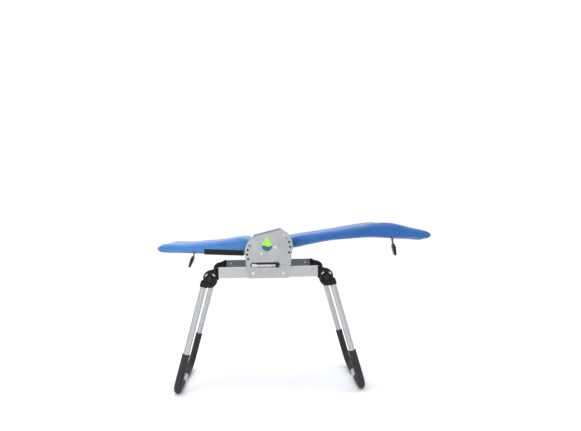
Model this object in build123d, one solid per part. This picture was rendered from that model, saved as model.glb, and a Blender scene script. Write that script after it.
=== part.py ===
from build123d import *
import os
from math import cos, radians, sin

# Reclining bath chair, in millimetres.
# +X points to the head end, +Y to the occupant's right, +Z up.
# The model is drawn about the middle of its base and then moved along X,
# so that its origin is the middle of its footprint, on the floor.

# ---- driving dimensions ----

# base rails, plates and cross tubes
rail_length = 386.0
rail_height = 42.5
rail_width = 25.0
rail_wall = 2.0
rail_corner = 4.0
rail_y = 200.0              # middle of each rail, from the middle plane
cross_tube_x = 58.0
cross_tube_drop = 4.0       # below the middle of the rail
cross_tube_radius = 8.0
bolt_radius = 4.0
bolt_head_radius = 6.5
bolt_head_height = 3.0
bolt_grip = 30.0            # how far a bolt reaches into its cross tube
plate_thickness = 5.0
plate_lap = 2.0             # how far the plate hangs below the rail
plate_half_width = 82.5

# legs and their hinges
leg_lean = 15.3
leg_length = 463.0          # hinge axis to the middle of the foot tube
leg_tube_radius = 12.5
leg_tube_wall = 1.5
leg_bend_radius = 58.0
leg_offset = 18.0           # leg tube axis, outward of the hinge axis
leg_tube_start = 16.0       # tube end, below the hinge axis
sleeve_wall = 2.25
sleeve_length = 157.0       # rim to the middle of the foot tube
sleeve_tail = 92.0          # past the bend, along the foot tube
sleeve_rim = 7.0            # thicker band round the upper rim
sleeve_rim_height = 0.6
hinge_reach = 33.0          # rail end to hinge axis
hinge_drop = 23.5           # rail middle down to hinge axis
cheek_half_width = 26.0
cheek_half_height = 33.0
cheek_thickness = 6.0
hub_radius = 18.0
hub_side_clearance = 0.5
hub_turn_clearance = 1.0
hub_wall = 2.0
hub_side_wall = 2.0
hub_block_start = 2.0       # top of the socket block, below the hinge axis
hub_end = 37.0              # mouth of the leg socket, below the hinge axis
hinge_pin_radius = 7.0
hinge_pin_bore = 4.2
hinge_boss_radius = 13.5
hinge_boss_height = 3.0
button_radius = 9.5
button_stem_radius = 4.0
button_stand = 4.0          # how far the button stands out of its boss
button_cap = 5.0
button_well = 8.4
button_spring_wire = 0.5
button_travel = 4.0
rivet_radius = 3.0
rivet_reach = 30.5          # leg rivet, below the hinge axis
kidney_length = 14.0
kidney_width = 5.0
kidney_inset = 4.2          # middle of a kidney slot, inside the cheek's edge
kidney_angles = [48, 132]
wear_ring_inset = 1.4       # ring's edge, inside the cheek's edge
wear_ring_thickness = 2.0
plug_length = 30.0
plug_rivet_x = 171.0
plug_rivet_rise = 6.0       # above the middle of the rail
plug_rivet_radius = 2.5
plug_rivet_head_radius = 4.5
plug_rivet_head_height = 1.2

# seat and backrest pivots
seat_pivot_x = -24.0
seat_pivot_rise = 71.0      # above the middle of the rail
seat_index_radius = 57.0
seat_index_start = 199.5
seat_index_steps = [0, 18, 36, 54]
backrest_pivot_x = 30.0
backrest_pivot_rise = 95.0
backrest_index_radius = 56.5
backrest_index_start = -20.5
backrest_index_steps = [0, 22, 42, 60, 75]
plate_margin = 10.5         # plate edge outside the arcs of index holes
index_hole_radius = 4.3
covered_holes = 3           # index holes that have the bracket behind them
bracket_lap = 1.5           # bracket's edge, outside those holes
index_pin_radius = 4.0
index_pin_reach = 6.5       # how far a pin slides out into the plate
index_housing_radius = 9.5
index_housing_length = 17.0
index_spring_wire = 0.7
pivot_radius = 5.0
pivot_head_radius = 6.5
pivot_hub_radius = 15.0
bracket_thickness = 5.0
bracket_gap = 1.0           # bracket to plate
bar_radius = 10.0
bar_wall = 1.5
bar_arm = 48.0              # cross bar, from its pivot
seat_bar_angle = 164.0
backrest_bar_angle = 9.0

# seat and backrest frames and pads
frame_tube_radius = 9.0
frame_tube_wall = 1.5
frame_half_width = 158.0
frame_corner_radius = 48.0
frame_inset = 21.0          # end tube's middle, inside the pad's tip
pad_half_width = 185.0
pad_channel_gap = 0.4
seat_reach = 437.0          # base middle to the seat's tip
seat_nose_radius = 15.0
seat_fall = 18.0            # the underside's fall, from its nose to the side plate
seat_end_gap = 28.0         # seat pivot to the inner end of the seat
seat_tip_rise = 97.0        # tip of the seat, above the rail's middle
backrest_reach = 654.0
backrest_bend_x = 430.0
backrest_tip_rise = 127.0
backrest_bend_rise = 160.0
backrest_bend_radius = 420.0
strap_width = 25.0
strap_thickness = 3.0
strap_y = -162.0
buckle_length = 46.0
buckle_thickness = 13.0
buckle_width = 32.0
flap_thickness = 1.6
flap_left = -252.0
sling_thickness = 9.0
sling_gap = 14.0            # sling to each pad

# lever in the slot of each plate
slot_left = -70.0
slot_right = 44.0
slot_height = 20.5
slot_drop = 3.5             # slot's lower edge, below the rail's top
lever_thickness = 3.5
lever_pivot_rise = 4.5      # above the rail's top
lever_screw_radius = 2.5
lever_left_gap = 6.0        # slot's left end to the blade
lever_right_gap = 8.0       # blade to the slot's right end
housing_left = -44.0
housing_right = 46.0
housing_height = 18.0
housing_depth = 14.0
knob_x = 35.0
knob_width = 15.0
knob_height = 21.0
knob_depth = 6.0
knob_stand = 1.0            # cap to plate
knob_stem_x = 33.0
knob_stem_radius = 3.0
badge_thickness = 1.2
badge_radius = 20.0

# running and seating clearances
run_gap = 0.05              # radial, a pin or stem that moves in its hole
seat_gap = 0.02             # radial, pieces that are fixed together
spring_gap = 0.4

# ---- places worked out from the dimensions ----

lean = radians(leg_lean)
sleeve_radius = leg_tube_radius + seat_gap + sleeve_wall
hub_half_width = leg_tube_radius + hub_side_wall
hinge_x = rail_length / 2 + hinge_reach
hinge_z = leg_length * cos(lean) - leg_offset * sin(lean) + sleeve_radius
rail_z = hinge_z + hinge_drop
rail_top = rail_z + rail_height / 2
rail_bottom = rail_z - rail_height / 2
rail_face = rail_y + rail_width / 2
plate_face = rail_face + plate_thickness
bracket_face = rail_face - bracket_gap
bracket_back = bracket_face - bracket_thickness
cross_tube_z = rail_z - cross_tube_drop
seat_pivot = Vector(seat_pivot_x, 0, rail_z + seat_pivot_rise)
backrest_pivot = Vector(backrest_pivot_x, 0, rail_z + backrest_pivot_rise)
cheek_face = hub_half_width + hub_side_clearance + cheek_thickness
yoke_face = rail_y + cheek_face
boss_face = yoke_face + hinge_boss_height
wear_ring_face = yoke_face - cheek_thickness
wear_ring_inner = hub_radius + hub_turn_clearance
wear_ring_outer = cheek_half_width - wear_ring_inset
lever_pivot_z = rail_top + lever_pivot_rise
slot_bottom = rail_top - slot_drop
slot_top = slot_bottom + slot_height


# ---- helpers ----

def polar(centre, radius, angle):
    """A point in the XZ plane, angle counted from +X towards +Z."""
    turn = radians(angle)
    return Vector(centre.X + radius * cos(turn), 0, centre.Z + radius * sin(turn))


def side_face(*edges):
    """A face in the XZ plane from its edges."""
    return make_face(Wire(edges))


def side_polygon(points):
    """A face in the XZ plane from its corners, as (x, z) pairs."""
    corners = [Vector(x, 0, z) for x, z in points]
    return make_face(Polyline(*corners, close=True).edges())


def along_y(face, y_low, y_high):
    """A face in the XZ plane, given its width from y_low to y_high."""
    return Pos(0, y_low, 0) * extrude(face, amount=y_high - y_low, dir=(0, 1, 0))


def rod(centre, radius, y_low, y_high):
    """A round bar along Y."""
    middle = Vector(centre.X, (y_low + y_high) / 2, centre.Z)
    return Pos(middle) * Rot(90, 0, 0) * Cylinder(radius, y_high - y_low)


def pipe(centre, outer, inner, y_low, y_high):
    """A round tube along Y."""
    return rod(centre, outer, y_low, y_high) - rod(centre, inner, y_low - 1, y_high + 1)


def bent_path(points, radii):
    """Straight runs through the points, joined by arcs of the given radii."""
    edges = []
    start = points[0]
    for before, corner, after, radius in zip(points, points[1:], points[2:], radii):
        back = (before - corner).normalized()
        ahead = (after - corner).normalized()
        half_angle = radians(back.get_angle(ahead)) / 2
        run = radius * cos(half_angle) / sin(half_angle)
        inward = (back + ahead).normalized()
        depth = radius / sin(half_angle) - radius
        arc_start = corner + back * run
        arc_end = corner + ahead * run
        edges.append(Line(start, arc_start))
        edges.append(ThreePointArc(arc_start, corner + inward * depth, arc_end))
        start = arc_end
    edges.append(Line(start, points[-1]))
    return Wire(edges)


def bar_along(path, radius):
    """A solid round bar that follows a path."""
    start = Plane(origin=path @ 0, z_dir=path % 0)
    return sweep(start * Circle(radius), path=path)


def tube_along(path, outer, inner):
    """A round tube that follows a path."""
    return bar_along(path, outer) - bar_along(path, inner)


def coil(centre, radius, wire, y_low, y_high, turns):
    """A spring of round wire along Y, between two heights of its outer faces."""
    height = y_high - y_low - 2 * wire
    path = Helix(pitch=height / turns, height=height, radius=radius)
    section = Plane(origin=path @ 0, z_dir=path % 0) * Circle(wire)
    spring = sweep(section, path=path, is_frenet=True)
    return Pos(centre.X, y_low + wire, centre.Z) * Rot(-90, 0, 0) * spring


def to_right(part):
    """The mirrored piece on the occupant's right."""
    return mirror(part, about=Plane.XZ)


def to_head(part):
    """The mirrored piece at the head end of the base."""
    return mirror(part, about=Plane.YZ)


def both_sides(part):
    return Compound([part.solid(), to_right(part).solid()])


# ---- base rails and cross tubes ----

def make_rail():
    outer = Plane.YZ * RectangleRounded(rail_width, rail_height, rail_corner)
    inner = Plane.YZ * RectangleRounded(
        rail_width - 2 * rail_wall, rail_height - 2 * rail_wall, rail_corner - rail_wall
    )
    rail = extrude(outer - inner, amount=rail_length / 2, both=True)
    rail = Pos(0, -rail_y, rail_z) * rail
    for x in (-cross_tube_x, cross_tube_x):
        hole = Vector(x, 0, cross_tube_z)
        rail -= rod(hole, bolt_radius + seat_gap, -rail_face - 1, -rail_y + rail_width)
    return rail - plug_rivet_space() - to_head(plug_rivet_space())


def plug_rivet_axis():
    return Vector(-plug_rivet_x, 0, rail_z + plug_rivet_rise)


def plug_rivet_space():
    inner_face = -rail_y + rail_width / 2
    space_radius = plug_rivet_radius + seat_gap
    return rod(plug_rivet_axis(), space_radius, -rail_face - 1, inner_face + 1)


def make_plug_rivet():
    """A through rivet that holds the hinge's plug in the end of the rail."""
    centre = plug_rivet_axis()
    inner_face = -rail_y + rail_width / 2
    rivet = rod(centre, plug_rivet_radius, -rail_face, inner_face)
    for y_low in (-rail_face - plug_rivet_head_height, inner_face):
        head = rod(centre, plug_rivet_head_radius, y_low, y_low + plug_rivet_head_height)
        rivet += head
    rims = rivet.edges().filter_by(GeomType.CIRCLE).sort_by(Axis.Y)
    return fillet([rims[0], rims[-1]], plug_rivet_head_height * 0.6)


def make_cross_tube(x):
    centre = Vector(x, 0, cross_tube_z)
    end = rail_y - rail_width / 2
    return pipe(centre, cross_tube_radius, bolt_radius + seat_gap, -end, end)


def make_cross_tube_bolt(x):
    centre = Vector(x, 0, cross_tube_z)
    head_face = -plate_face - bolt_head_height
    bolt = rod(centre, bolt_radius, -plate_face, -rail_y + rail_width / 2 + bolt_grip)
    bolt += rod(centre, bolt_head_radius, head_face, -plate_face)
    edge = bolt.edges().filter_by(GeomType.CIRCLE).sort_by(Axis.Y)[0]
    bolt = fillet(edge, bolt_head_height * 0.6)
    socket = RegularPolygon(bolt_head_radius * 0.4, 6)
    socket = Plane(origin=(x, head_face, cross_tube_z), z_dir=(0, -1, 0)) * socket
    return bolt - extrude(socket, amount=-bolt_head_height * 0.6)


# ---- side plates ----

def make_side_plate():
    seat_edge = seat_index_radius + plate_margin
    backrest_edge = backrest_index_radius + plate_margin
    low = rail_bottom - plate_lap
    corners = [
        Vector(-plate_half_width, 0, low),
        polar(seat_pivot, seat_edge, seat_index_start + 0.5),
        polar(seat_pivot, seat_edge + 4, seat_index_start - 62),
        polar(seat_pivot, seat_edge + 9, seat_index_start - 78),
        polar(backrest_pivot, backrest_edge + 8.5, backrest_index_start + 90),
        polar(backrest_pivot, backrest_edge + 7, backrest_index_start + 69),
        polar(backrest_pivot, backrest_edge, backrest_index_start - 4),
        Vector(plate_half_width, 0, low),
    ]
    outline = side_face(
        Line(corners[0], corners[1]),
        ThreePointArc(
            corners[1], polar(seat_pivot, seat_edge, seat_index_start - 30), corners[2]
        ),
        Line(corners[2], corners[3]),
        Line(corners[3], corners[4]),
        Line(corners[4], corners[5]),
        ThreePointArc(
            corners[5],
            polar(backrest_pivot, backrest_edge, backrest_index_start + 27),
            corners[6],
        ),
        Line(corners[6], corners[7]),
        Line(corners[7], corners[0]),
    )
    plate = along_y(outline, -plate_face, -rail_face)
    rounded = [
        edge
        for edge in plate.edges().filter_by(Axis.Y)
        if edge.center().Z > backrest_pivot.Z + 20 or edge.center().Z < low + 1
    ]
    plate = fillet(rounded, 7)
    slot = Plane.XZ * SlotOverall(slot_right - slot_left, slot_height)
    slot = Pos((slot_left + slot_right) / 2, 0, (slot_bottom + slot_top) / 2) * slot
    plate -= along_y(slot, -plate_face - 1, -rail_face + 1)
    for centre in seat_index_centres + backrest_index_centres:
        plate -= rod(centre, index_hole_radius, -plate_face - 1, -rail_face + 1)
    for centre in (seat_pivot, backrest_pivot):
        plate -= rod(centre, pivot_radius + seat_gap, -plate_face - 1, -rail_face + 1)
    for x in (-cross_tube_x, cross_tube_x):
        centre = Vector(x, 0, cross_tube_z)
        plate -= rod(centre, bolt_radius + seat_gap, -plate_face - 1, -rail_face + 1)
    return plate


def make_badge():
    """A plain drop-shaped badge on the plate."""
    centre = Vector((seat_pivot.X + backrest_pivot.X) / 2 - 7, 0, backrest_pivot.Z + 7)
    left = polar(centre, badge_radius, 155)
    right = polar(centre, badge_radius, 25)
    tip = centre + Vector(0, 0, 2.0 * badge_radius)
    drop = side_face(
        ThreePointArc(left, polar(centre, badge_radius, -90), right),
        Line(right, tip),
        Line(tip, left),
    )
    badge = along_y(drop, -plate_face - badge_thickness, -plate_face)
    return fillet(badge.edges().filter_by(Axis.Y), 5)


def make_pivot_bolt(pivot):
    flange_start = -bracket_back + 0.5
    bolt = rod(pivot, pivot_radius, -plate_face, flange_start)
    bolt += rod(pivot, pivot_head_radius, -plate_face - bolt_head_height, -plate_face)
    bolt += rod(pivot, pivot_radius + 3, flange_start, flange_start + 3)
    edge = bolt.edges().filter_by(GeomType.CIRCLE).sort_by(Axis.Y)[0]
    return fillet(edge, bolt_head_height * 0.6)


# ---- lever in the slot ----

lever_pivot = Vector(0, 0, lever_pivot_z)
lever_face = plate_face - 0.6


def make_lever_support():
    """The block on the rail that the lever turns on, behind the slot."""
    length = housing_right - housing_left
    block = Box(
        length, housing_depth, housing_height, align=(Align.MIN, Align.MIN, Align.MIN)
    )
    block = Pos(housing_left, -rail_face, rail_top) * block
    block = fillet(block.edges().filter_by(Axis.Y).sort_by(Axis.Z)[2:4], 4)
    screw_end = -rail_face + housing_depth + 1
    return block - rod(lever_pivot, lever_screw_radius + seat_gap, -rail_face - 1, screw_end)


def make_lever_screw():
    screw = rod(lever_pivot, lever_screw_radius, -lever_face, -rail_face + 10)
    head = rod(lever_pivot, lever_screw_radius + 2, -lever_face - 2, -lever_face)
    screw += head
    edge = screw.edges().filter_by(GeomType.CIRCLE).sort_by(Axis.Y)[0]
    return fillet(edge, 1.2)


def make_lever_blade():
    z = lever_pivot_z
    left = slot_left + lever_left_gap
    right = slot_right - lever_right_gap
    blade = side_polygon(
        [
            (left, z - 2),
            (left, z + 6),
            (left + 14, z + 6),
            (left + 26, z + 3.5),
            (right, z + 3.5),
            (right, z - 3.5),
            (left + 20, z - 3.5),
            (left + 6, z - 5),
        ]
    )
    blade = along_y(blade, -lever_face, -lever_face + lever_thickness)
    blade = fillet(blade.edges().filter_by(Axis.Y).sort_by(Axis.X)[0:3], 1.8)
    return blade - rod(lever_pivot, lever_screw_radius + run_gap, -plate_face - 9, 0)


def make_lever_knob():
    """An upright oval cap outside the plate, on a stem that stands on the blade."""
    cap_face = -plate_face - knob_stand
    cap = Plane.XZ * Rot(0, 0, 90) * SlotOverall(knob_height, knob_width)
    cap = Pos(knob_x, 0, (slot_bottom + slot_top) / 2) * cap
    cap = along_y(cap, cap_face - knob_depth, cap_face)
    outer_rim = cap.faces().sort_by(Axis.Y)[0].edges()
    cap = fillet(outer_rim, 2.5)
    stem = Vector(knob_stem_x, 0, lever_pivot_z)
    return cap + rod(stem, knob_stem_radius, cap_face - 1, -lever_face)


# ---- leg hinges, drawn for the foot end on the left ----

hinge_centre = Vector(-hinge_x, 0, hinge_z)
down_leg = Vector(-sin(lean), 0, -cos(lean))
out_of_leg = Vector(-cos(lean), 0, sin(lean))


def cheek_outline():
    rise = cheek_half_height - cheek_half_width
    oval = Plane.XZ * Rot(0, 0, 90) * SlotCenterToCenter(2 * rise, 2 * cheek_half_width)
    return Pos(hinge_centre) * oval


def kidney_slot(angle):
    """A slot near the rim of the outer cheek, open to the wear ring behind it."""
    middle = polar(hinge_centre, cheek_half_width - kidney_inset, angle)
    slot = Plane.XZ * SlotOverall(kidney_length, kidney_width)
    slot = Pos(middle) * Rot(0, 90 - angle, 0) * slot
    return along_y(slot, -yoke_face - 1, -wear_ring_face)


def wear_ring_space():
    """The ring-shaped recess in the inner face of the outer cheek."""
    recess_floor = -wear_ring_face - wear_ring_thickness - seat_gap
    space = rod(hinge_centre, wear_ring_outer + seat_gap, recess_floor, -wear_ring_face)
    return space - rod(
        hinge_centre, wear_ring_inner - seat_gap, recess_floor - 1, -wear_ring_face + 1
    )


def make_wear_ring():
    return pipe(
        hinge_centre,
        wear_ring_outer,
        wear_ring_inner,
        -wear_ring_face - wear_ring_thickness,
        -wear_ring_face,
    )


def make_hinge_yoke():
    """Two cheeks, the web that joins them and the plug inside the rail."""
    rail_end = -rail_length / 2
    arm = side_polygon(
        [
            (rail_end, rail_top),
            (rail_end, rail_bottom - 4),
            (-hinge_x + 8, hinge_z - 20),
            (-hinge_x - 4, hinge_z),
            (-hinge_x - 6, hinge_z + cheek_half_height - 2),
            (-hinge_x + 8, hinge_z + cheek_half_height + 3),
            (rail_end - 8, rail_top - 1),
        ]
    )
    low_y = -rail_y - cheek_face
    high_y = -rail_y + cheek_face
    body = along_y(cheek_outline(), low_y, high_y) + along_y(arm, low_y, high_y)
    shoulder = Box(40, 2 * cheek_face, 200, align=(Align.MIN, Align.CENTER, Align.CENTER))
    side_cut = shoulder - Box(200, rail_width, 300)
    body -= Pos(rail_end - 9, -rail_y, hinge_z) * side_cut
    hub_space = rod(hinge_centre, hub_radius + hub_turn_clearance, low_y, high_y)
    wedge = side_polygon(
        [
            (-hinge_x, hinge_z),
            (-hinge_x + 12, hinge_z + 80),
            (-hinge_x - 90, hinge_z + 80),
            (-hinge_x - 90, hinge_z - 80),
            (-hinge_x + 24, hinge_z - 80),
        ]
    )
    hub_space += along_y(wedge, low_y, high_y)
    middle = hub_half_width + hub_side_clearance
    hub_space &= Pos(-hinge_x, -rail_y, hinge_z) * Box(300, 2 * middle, 300)
    body -= hub_space
    plug = Plane.YZ * RectangleRounded(
        rail_width - 2 * rail_wall - 2 * seat_gap,
        rail_height - 2 * rail_wall - 2 * seat_gap,
        rail_corner - rail_wall,
    )
    body += Pos(rail_end - 1, -rail_y, rail_z) * extrude(plug, amount=plug_length + 1)
    body += rod(hinge_centre, hinge_boss_radius, -boss_face, -yoke_face)
    body -= rod(hinge_centre, button_radius + run_gap, -boss_face - 1, -boss_face + button_well)
    body -= rod(hinge_centre, hinge_pin_radius + seat_gap, low_y - 1, high_y + 1)
    for angle in kidney_angles:
        body -= kidney_slot(angle)
    return body - wear_ring_space() - plug_rivet_space()


def make_hinge_pin():
    """The hollow axle through both cheeks, with a flange on the inner side."""
    inner_face = -rail_y + cheek_face
    pin = rod(hinge_centre, hinge_pin_radius, -boss_face + button_well, inner_face)
    pin += rod(hinge_centre, hinge_pin_radius + 4, inner_face, inner_face + 2.5)
    return pin - rod(hinge_centre, hinge_pin_bore, -boss_face, 0)


def make_release_button():
    cap_start = -boss_face - button_stand
    button = rod(hinge_centre, button_radius, cap_start, cap_start + button_cap)
    edge = button.edges().filter_by(GeomType.CIRCLE).sort_by(Axis.Y)[0]
    button = fillet(edge, 1.5)
    stem_end = -rail_y
    return button + rod(
        hinge_centre, hinge_pin_bore - 4 * run_gap, cap_start + button_cap, stem_end
    )


def make_button_spring():
    """Drawn at its pressed length, on the axle's end."""
    floor = -boss_face + button_well
    cap_back = -boss_face - button_stand + button_cap + button_travel
    return coil(
        hinge_centre,
        (button_radius + button_stem_radius) / 2,
        button_spring_wire,
        cap_back + spring_gap / 2,
        floor - spring_gap / 2,
        2,
    )


def make_leg_hub():
    """The leg's half of the hinge: a disc with the socket of the leg tube."""
    low_y = -rail_y - hub_half_width
    high_y = -rail_y + hub_half_width
    half = leg_tube_radius + hub_wall
    near = leg_offset - half
    far = leg_offset + half
    outline = [
        (hub_block_start, near),
        (hub_block_start + 2, far - 12),
        (leg_tube_start - 1, far),
        (hub_end, far),
        (hub_end, near),
    ]
    corners = [hinge_centre + down_leg * u + out_of_leg * v for u, v in outline]
    block = side_polygon([(corner.X, corner.Z) for corner in corners])
    hub = rod(hinge_centre, hub_radius, low_y, high_y) + along_y(block, low_y, high_y)
    axis_start = hinge_centre + Vector(0, -rail_y, 0) + out_of_leg * leg_offset
    socket = Plane(origin=axis_start + down_leg * leg_tube_start, z_dir=down_leg)
    hub -= extrude(socket * Circle(leg_tube_radius + seat_gap), amount=leg_length)
    hub -= rod(hinge_centre, hinge_pin_radius + run_gap, low_y - 1, high_y + 1)
    return hub - leg_rivet_space()


def leg_rivet_axis():
    return hinge_centre + down_leg * rivet_reach + out_of_leg * leg_offset


def leg_rivet_space():
    return rod(leg_rivet_axis(), rivet_radius + seat_gap, -rail_y - 40, -rail_y + 40)


def make_leg_rivet():
    """A countersunk rivet, flush with both sides of the hub."""
    low_y = -rail_y - hub_half_width
    high_y = -rail_y + hub_half_width
    return rod(leg_rivet_axis(), rivet_radius, low_y, high_y)


# ---- legs, drawn for the foot end ----

def leg_point(reach, y):
    return hinge_centre + down_leg * reach + out_of_leg * leg_offset + Vector(0, y, 0)


def make_leg_tube():
    path = bent_path(
        [
            leg_point(leg_tube_start, -rail_y),
            leg_point(leg_length, -rail_y),
            leg_point(leg_length, rail_y),
            leg_point(leg_tube_start, rail_y),
        ],
        [leg_bend_radius, leg_bend_radius],
    )
    tube = tube_along(path, leg_tube_radius, leg_tube_radius - leg_tube_wall)
    for space in (leg_rivet_space(), to_right(leg_rivet_space())):
        tube -= space
    return tube


def make_leg_sleeve():
    rim = leg_length - sleeve_length
    path = bent_path(
        [
            leg_point(rim, -rail_y),
            leg_point(leg_length, -rail_y),
            leg_point(leg_length, -rail_y + leg_bend_radius + sleeve_tail),
        ],
        [leg_bend_radius],
    )
    inner = leg_tube_radius + seat_gap
    sleeve = tube_along(path, sleeve_radius, inner)
    band = Plane(origin=leg_point(rim, -rail_y), z_dir=down_leg)
    rim_ring = Circle(sleeve_radius + sleeve_rim_height) - Circle(inner)
    band = extrude(band * rim_ring, amount=sleeve_rim)
    return sleeve + band


# ---- brackets, bars and index pins ----

def make_bracket(pivot, index_centres, bar_centre):
    """The arm plate that turns on a pivot and carries the index pin and the bar."""
    bosses = [
        (pivot, pivot_hub_radius),
        (index_centres[0], index_housing_radius),
        (bar_centre, bar_radius),
    ]
    for centre in index_centres[1:covered_holes]:
        bosses.append((centre, index_hole_radius + bracket_lap))
    rings = [
        (Pos(centre.X, centre.Z) * Circle(radius)).edge() for centre, radius in bosses
    ]
    hull = Plane.XZ * make_hull(rings)
    bracket = along_y(hull, -bracket_face, -bracket_back)
    bracket -= rod(pivot, pivot_radius + run_gap, -plate_face, 0)
    return bracket - rod(index_centres[0], index_pin_radius + run_gap, -plate_face, 0)


def make_index_housing(centre):
    end = -bracket_back + index_housing_length
    housing = rod(centre, index_housing_radius, -bracket_back, end)
    housing -= rod(centre, index_pin_radius + run_gap, -plate_face, end - 2)
    return housing - rod(centre, index_pin_radius + 2, -bracket_back + 3, end - 2)


def make_index_pin(centre):
    """Drawn back, with its tip flush with the bracket."""
    tip = -bracket_face
    collar = -bracket_back + 3 + index_pin_reach + run_gap
    pin = rod(centre, index_pin_radius, tip, collar)
    pin = chamfer(pin.edges().filter_by(GeomType.CIRCLE).sort_by(Axis.Y)[0], 0.8)
    return pin + rod(centre, index_pin_radius + 1.8, collar, collar + 1.5)


def make_index_spring(centre):
    """Drawn as it is with the pin drawn back."""
    collar = -bracket_back + 3 + index_pin_reach + run_gap + 1.5
    end = -bracket_back + index_housing_length - 2
    return coil(
        centre,
        index_pin_radius,
        index_spring_wire,
        collar + spring_gap / 2,
        end - spring_gap / 2,
        2,
    )


def make_cross_bar(centre):
    return pipe(centre, bar_radius, bar_radius - bar_wall, -bracket_back, bracket_back)


seat_index_centres = [
    polar(seat_pivot, seat_index_radius, seat_index_start - step)
    for step in seat_index_steps
]
seat_bar_centre = polar(seat_pivot, bar_arm, seat_bar_angle)
backrest_index_centres = [
    polar(backrest_pivot, backrest_index_radius, backrest_index_start + step)
    for step in backrest_index_steps
]
backrest_bar_centre = polar(backrest_pivot, bar_arm, backrest_bar_angle)

# ---- seat ----

seat_tip = Vector(-seat_reach, 0, rail_z + seat_tip_rise)
seat_frame_end = Vector(-seat_reach + frame_inset, 0, rail_z + seat_tip_rise + 3)


def seat_frame_path():
    side = Vector(0, frame_half_width, 0)
    return bent_path(
        [
            seat_bar_centre - side,
            seat_frame_end - side,
            seat_frame_end + side,
            seat_bar_centre + side,
        ],
        [frame_corner_radius, frame_corner_radius],
    )


def make_seat_frame_tube():
    tube = tube_along(
        seat_frame_path(), frame_tube_radius, frame_tube_radius - frame_tube_wall
    )
    return tube - rod(seat_bar_centre, bar_radius + seat_gap, -rail_y, rail_y)


def seat_underside(x):
    """Height of the seat's underside: a straight fall from nose to hip."""
    fall = seat_fall * (x + seat_reach) / (seat_reach - plate_half_width)
    return seat_tip.Z - seat_nose_radius - fall


def make_seat_pad():
    nose = seat_tip.X
    shoulder = nose + 14
    inner = seat_pivot.X - seat_end_gap
    hip = -plate_half_width - 12
    upper = [
        Vector(shoulder, 0, seat_tip.Z + seat_nose_radius + 0.5),
        Vector(-331, 0, seat_tip.Z + 13.5),
        Vector(-270, 0, seat_tip.Z + 19.5),
        Vector(-221, 0, seat_tip.Z + 21),
        Vector(-129, 0, seat_tip.Z + 33.5),
        Vector(hip, 0, seat_tip.Z + 38),
        Vector(inner - 4, 0, seat_tip.Z + 27),
    ]
    lower = [
        Vector(inner, 0, seat_underside(inner) + 3),
        Vector(hip, 0, seat_underside(hip)),
        Vector(shoulder, 0, seat_underside(shoulder)),
    ]
    edges = [Line(a, b) for a, b in zip(upper, upper[1:])]
    edges.append(Line(upper[-1], lower[0]))
    edges += [Line(a, b) for a, b in zip(lower, lower[1:])]
    edges.append(ThreePointArc(lower[-1], seat_tip, upper[0]))
    pad = along_y(side_face(*edges), -pad_half_width, pad_half_width)
    pad -= bar_along(seat_frame_path(), frame_tube_radius + pad_channel_gap)
    return pad - rod(seat_bar_centre, bar_radius + pad_channel_gap, -rail_y, rail_y)


def make_seat_flap():
    """The dark band along the lower edge of the seat cover's side."""
    right = -plate_half_width - 14
    flap = side_polygon(
        [
            (flap_left, seat_underside(flap_left) + 1),
            (right, seat_underside(right) + 1),
            (right, seat_underside(right) + 17),
            (flap_left, seat_underside(flap_left) + 19.5),
        ]
    )
    return along_y(flap, -pad_half_width - flap_thickness, -pad_half_width)


def make_strap(top, direction):
    """A strip of webbing that hangs from the underside of a pad."""
    along = direction.normalized()
    plane = Plane(origin=top, x_dir=(0, 1, 0), z_dir=along)
    return extrude(plane * Rectangle(strap_width, strap_thickness), amount=direction.length)


def make_buckle(top, direction):
    """Half of a side-release buckle on the end of a strap."""
    along = direction.normalized()
    plane = Plane(origin=top + direction, x_dir=(0, 1, 0), z_dir=along)
    body = extrude(
        plane * RectangleRounded(buckle_width, buckle_thickness, 3), amount=buckle_length
    )
    mouth = Plane(origin=top + direction + along * buckle_length, x_dir=(0, 1, 0), z_dir=along)
    return body - extrude(
        mouth * Rectangle(buckle_width - 8, buckle_thickness - 6), amount=-buckle_length * 0.6
    )


seat_strap_x = -292.4
seat_strap_top = Vector(seat_strap_x, strap_y, seat_underside(seat_strap_x) - 1.0)
seat_strap_run = Vector(-3.5, 0, -9.5)


# ---- backrest ----

backrest_bend = Vector(backrest_bend_x, 0, rail_z + backrest_bend_rise)
backrest_tip = Vector(backrest_reach, 0, rail_z + backrest_tip_rise)
backrest_frame_end = backrest_tip + Vector(-frame_inset, 0, 2)

def backrest_frame_path():
    side = Vector(0, frame_half_width, 0)
    return bent_path(
        [
            backrest_bar_centre - side,
            backrest_bend - side,
            backrest_frame_end - side,
            backrest_frame_end + side,
            backrest_bend + side,
            backrest_bar_centre + side,
        ],
        [
            backrest_bend_radius,
            frame_corner_radius,
            frame_corner_radius,
            backrest_bend_radius,
        ],
    )


def make_backrest_frame_tube():
    tube = tube_along(
        backrest_frame_path(), frame_tube_radius, frame_tube_radius - frame_tube_wall
    )
    return tube - rod(backrest_bar_centre, bar_radius + seat_gap, -rail_y, rail_y)


def backrest_lower_points():
    bar = backrest_bar_centre
    bend = backrest_bend
    tip = backrest_tip
    return [
        Vector(bar.X - 8, 0, bar.Z - 16),
        Vector(bar.X + 30, 0, bar.Z - 12),
        Vector(bend.X - 180, 0, bend.Z - 42.5),
        Vector(bend.X - 20, 0, bend.Z - 32.5),
        Vector(tip.X - 71, 0, tip.Z - 12),
        Vector(tip.X - 13, 0, tip.Z - 16.5),
    ]


def backrest_underside(x):
    """Height of the backrest's underside."""
    lower = backrest_lower_points()
    for a, b in zip(lower, lower[1:]):
        if a.X <= x <= b.X:
            height = a.Z + (b.Z - a.Z) * (x - a.X) / (b.X - a.X)
    return height


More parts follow.
